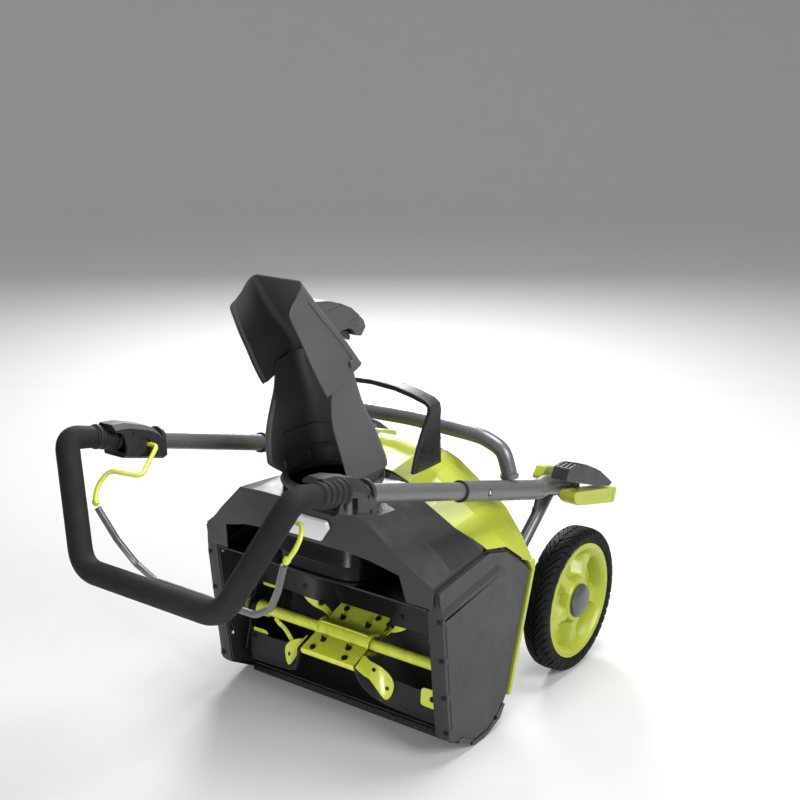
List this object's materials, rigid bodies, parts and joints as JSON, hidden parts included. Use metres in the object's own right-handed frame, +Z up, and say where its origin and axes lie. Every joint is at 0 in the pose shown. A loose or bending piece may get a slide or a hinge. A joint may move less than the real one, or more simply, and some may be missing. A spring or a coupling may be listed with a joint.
{
  "type": "cordless snow blower",
  "caption": "Walk-behind cordless snow blower with a rubber-paddled auger, turning chute, tilting deflector, rear wheels and a folding tubular handle, stored folded.",
  "frame": {"origin": "centre of the machine's footprint, on the ground", "axes": "+Z up, -Y the way the auger faces, +X the machine's left"},
  "size_m": [0.58, 1.0658, 0.87],
  "materials": {
    "charcoal_plastic": "fine moulded texture",
    "black_plastic": "semi-gloss",
    "lime_plastic": "satin",
    "silver_plastic": "satin",
    "clear_plastic": "clear, ribbed behind",
    "grey_steel": "powder coat",
    "lime_steel": "powder coat",
    "bare_steel": "zinc plated",
    "black_steel": "black paint",
    "rubber": "matt",
    "tyre": "matt with a chevron tread",
    "foam": "closed-cell foam"
  },
  "bodies": {
    "chassis": {"auger_housing": "charcoal_plastic", "side_plate_left": "charcoal_plastic", "side_plate_right": "charcoal_plastic", "scraper_bar": "black_plastic", "shaft_bearing_left": "bare_steel", "shaft_bearing_right": "bare_steel", "drive_belt": "rubber", "motor_housing": "black_steel", "motor_controller": "black_plastic", "top_cover": "charcoal_plastic", "headlight_lens": "clear_plastic", "rear_cover": "lime_plastic", "rear_housing": "charcoal_plastic", "discharge_duct": "black_plastic", "lift_handle": "black_plastic", "frame_tube_left": "grey_steel", "frame_tube_right": "grey_steel", "axle": "bare_steel", "control_cable": "black_plastic", "pivot_cover_left": "charcoal_plastic", "pivot_cover_right": "charcoal_plastic", "pivot_nut_left": "lime_plastic", "pivot_nut_right": "lime_plastic"},
    "auger": {"auger_shaft": "lime_steel", "auger_pulley": "bare_steel", "paddle_clamp": "lime_steel", "end_bracket_left": "lime_steel", "end_bracket_right": "lime_steel", "paddle_front": "rubber", "paddle_rear": "rubber"},
    "rotor": {"motor_rotor": "bare_steel"},
    "wheel_left": {"wheel_tyre_left": "tyre", "wheel_rim_left": "lime_plastic", "wheel_hub_cap_left": "black_plastic"},
    "wheel_right": {"wheel_tyre_right": "tyre", "wheel_rim_right": "lime_plastic", "wheel_hub_cap_right": "black_plastic"},
    "chute": {"chute_body": "charcoal_plastic"},
    "deflector": {"chute_deflector": "charcoal_plastic", "deflector_handle": "charcoal_plastic"},
    "trigger": {"deflector_trigger": "black_plastic"},
    "lid": {"battery_lid": "silver_plastic"},
    "battery": {"battery_pack": "black_plastic"},
    "lever_left": {"cam_lever_left": "lime_plastic"},
    "lever_right": {"cam_lever_right": "lime_plastic"},
    "handle": {"front_rail_left": "grey_steel", "front_rail_right": "grey_steel", "rear_rail_left": "grey_steel", "rear_rail_right": "grey_steel", "cross_brace": "grey_steel", "grip_housing_left": "charcoal_plastic", "grip_housing_right": "charcoal_plastic", "grip_tube": "grey_steel", "foam_grip": "foam"},
    "button_left": {"snap_button_left": "bare_steel"},
    "button_right": {"snap_button_right": "bare_steel"},
    "start": {"start_button": "lime_plastic"},
    "bail": {"bail_wire_left": "lime_steel", "bail_wire_right": "lime_steel", "bail_bar": "grey_steel"}
  },
  "joints": [
    {"name": "auger_spin", "type": "hinge", "parent": "chassis", "child": "auger", "pos_m": [0, -0.02, 0.152], "axis": [1, 0, 0], "continuous": true},
    {"name": "motor_spin", "type": "hinge", "parent": "chassis", "child": "rotor", "pos_m": [0, 0.15, 0.262], "axis": [1, 0, 0], "continuous": true},
    {"name": "wheel_left_spin", "type": "hinge", "parent": "chassis", "child": "wheel_left", "pos_m": [0.255, 0.385, 0.148], "axis": [1, 0, 0], "continuous": true},
    {"name": "wheel_right_spin", "type": "hinge", "parent": "chassis", "child": "wheel_right", "pos_m": [-0.255, 0.385, 0.148], "axis": [1, 0, 0], "continuous": true},
    {"name": "chute_turn", "type": "hinge", "parent": "chassis", "child": "chute", "pos_m": [0, -0.055, 0.484], "axis": [0, 0, 1], "range_deg": [-95, 95]},
    {"name": "deflector_tilt", "type": "hinge", "parent": "chute", "child": "deflector", "pos_m": [0, -0.088, 0.712], "axis": [1, 0, 0], "range_deg": [-12, 28]},
    {"name": "trigger_press", "type": "slide", "parent": "deflector", "child": "trigger", "axis": [0, 0, 1], "range_m": [0, 0.005], "stiffness_N_per_m": 300, "springref_m": -0.004},
    {"name": "lid_open", "type": "hinge", "parent": "chassis", "child": "lid", "pos_m": [0, 0.308, 0.316], "axis": [-1, 0, 0], "range_deg": [0, 100]},
    {"name": "battery_eject", "type": "slide", "parent": "chassis", "child": "battery", "axis": [0, 0.8089, 0.5879], "range_m": [0, 0.01]},
    {"name": "lever_left_open", "type": "hinge", "parent": "chassis", "child": "lever_left", "pos_m": [0.272, 0.3365, 0.384], "axis": [0, -0.2266, -0.974], "range_deg": [0, 100]},
    {"name": "lever_right_open", "type": "hinge", "parent": "chassis", "child": "lever_right", "pos_m": [-0.272, 0.3365, 0.384], "axis": [0, 0.2266, 0.974], "range_deg": [0, 100]},
    {"name": "handle_fold", "type": "hinge", "parent": "chassis", "child": "handle", "pos_m": [0, 0.4, 0.372], "axis": [-1, 0, 0], "range_deg": [0, 130]},
    {"name": "snap_left_press", "type": "slide", "parent": "handle", "child": "button_left", "axis": [-1, 0, 0], "range_m": [0, 0.003], "stiffness_N_per_m": 400, "springref_m": -0.003},
    {"name": "snap_right_press", "type": "slide", "parent": "handle", "child": "button_right", "axis": [1, 0, 0], "range_m": [0, 0.003], "stiffness_N_per_m": 400, "springref_m": -0.003},
    {"name": "start_press", "type": "slide", "parent": "handle", "child": "start", "axis": [-1, 0, 0], "range_m": [0, 0.004], "stiffness_N_per_m": 400, "springref_m": -0.003},
    {"name": "bail_squeeze", "type": "hinge", "parent": "handle", "child": "bail", "pos_m": [0, -0.303, 0.571], "axis": [-1, 0, 0], "range_deg": [0, 16], "stiffness_Nm_per_rad": 1.2, "springref_deg": -28.65}
  ],
  "couplings": [
    {"joint": "motor_spin", "follows": "auger_spin", "ratio": 2.875}
  ]
}
